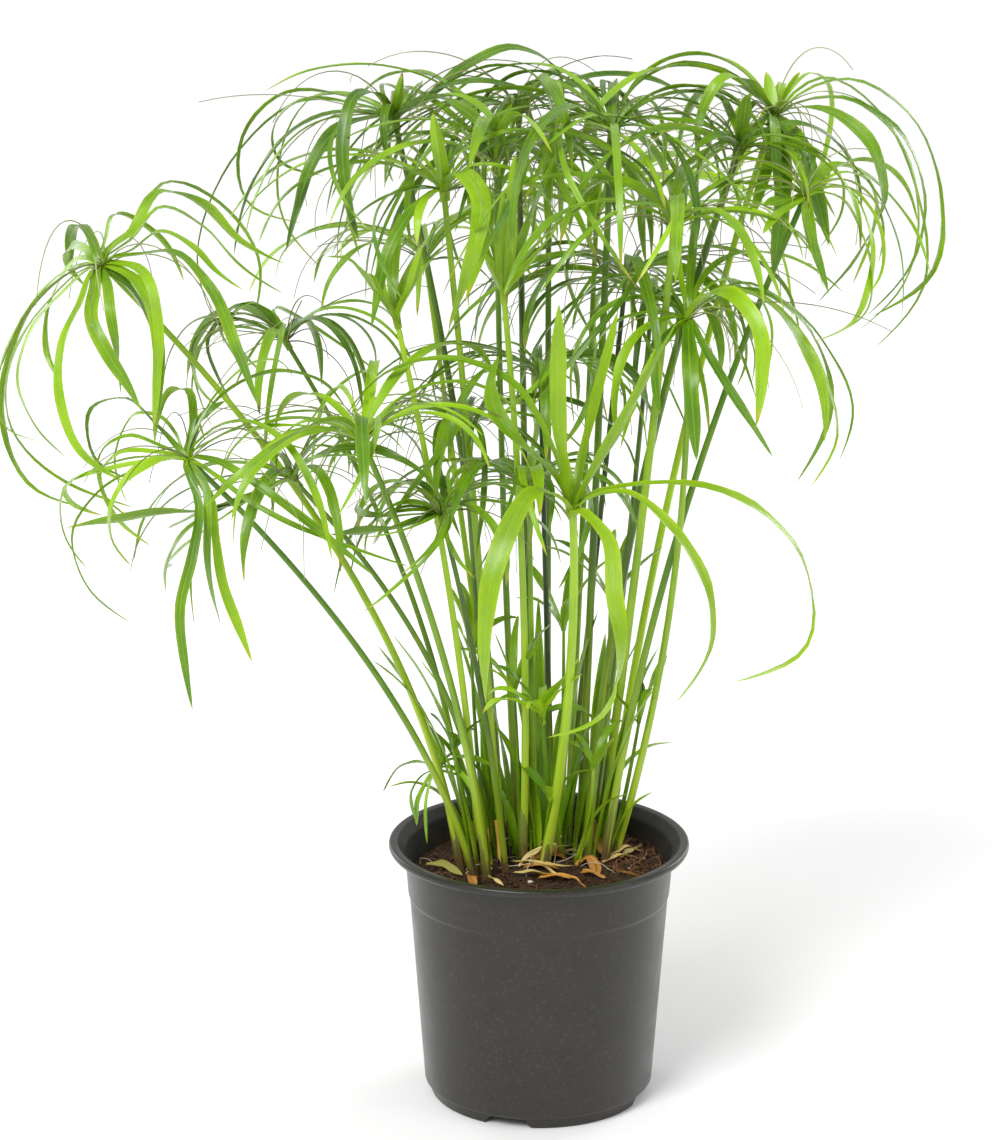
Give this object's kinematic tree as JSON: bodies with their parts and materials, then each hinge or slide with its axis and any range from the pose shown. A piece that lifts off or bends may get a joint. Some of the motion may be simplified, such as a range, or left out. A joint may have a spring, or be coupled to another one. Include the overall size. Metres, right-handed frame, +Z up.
{
  "type": "potted umbrella sedge",
  "caption": "Bushy umbrella sedge in a round black nursery pot: bare upright stems, each topped by a drooping umbrella of narrow leaf-like bracts.",
  "frame": {"origin": "on the ground under the middle of the pot, at the centre of its underside", "axes": "+Z up along the pot's axis, -Y towards the front of the plant as pictured, +X to the right of that view"},
  "size_m": [0.5235, 0.4641, 0.5877],
  "materials": {
    "pot_plastic": "satin",
    "soil": "matte",
    "culm_young": "satin",
    "culm_mature": "satin",
    "culm_old": "satin",
    "bract_young": "satin",
    "bract_mature": "satin",
    "bract_old": "satin"
  },
  "bodies": {
    "root": {"pot": "pot_plastic", "soil": "soil", "culm_01": "culm_mature", "umbrella_01": "bract_mature", "culm_02": "culm_mature", "umbrella_02": "bract_mature", "culm_03": "culm_old", "umbrella_03": "bract_old", "culm_04": "culm_mature", "umbrella_04": "bract_mature", "culm_05": "culm_young", "umbrella_05": "bract_young", "culm_06": "culm_young", "umbrella_06": "bract_young", "culm_07": "culm_young", "umbrella_07": "bract_young", "culm_08": "culm_mature", "umbrella_08": "bract_mature", "culm_09": "culm_old", "umbrella_09": "bract_old", "culm_10": "culm_mature", "umbrella_10": "bract_mature", "culm_11": "culm_mature", "umbrella_11": "bract_mature", "culm_12": "culm_old", "umbrella_12": "bract_old", "culm_13": "culm_old", "umbrella_13": "bract_old", "culm_14": "culm_old", "umbrella_14": "bract_old", "culm_15": "culm_mature", "umbrella_15": "bract_mature", "culm_16": "culm_old", "umbrella_16": "bract_old", "culm_17": "culm_old", "umbrella_17": "bract_old", "culm_18": "culm_mature", "umbrella_18": "bract_mature", "culm_19": "culm_old", "umbrella_19": "bract_old", "culm_20": "culm_old", "umbrella_20": "bract_old", "culm_21": "culm_old", "umbrella_21": "bract_old", "culm_22": "culm_old", "umbrella_22": "bract_old", "culm_23": "culm_mature", "umbrella_23": "bract_mature", "culm_24": "culm_old", "umbrella_24": "bract_old", "culm_25": "culm_mature", "umbrella_25": "bract_mature", "culm_26": "culm_mature", "umbrella_26": "bract_mature", "culm_27": "culm_mature", "umbrella_27": "bract_mature", "culm_28": "culm_mature", "umbrella_28": "bract_mature", "culm_29": "culm_mature", "umbrella_29": "bract_mature"}
  },
  "joints": []
}
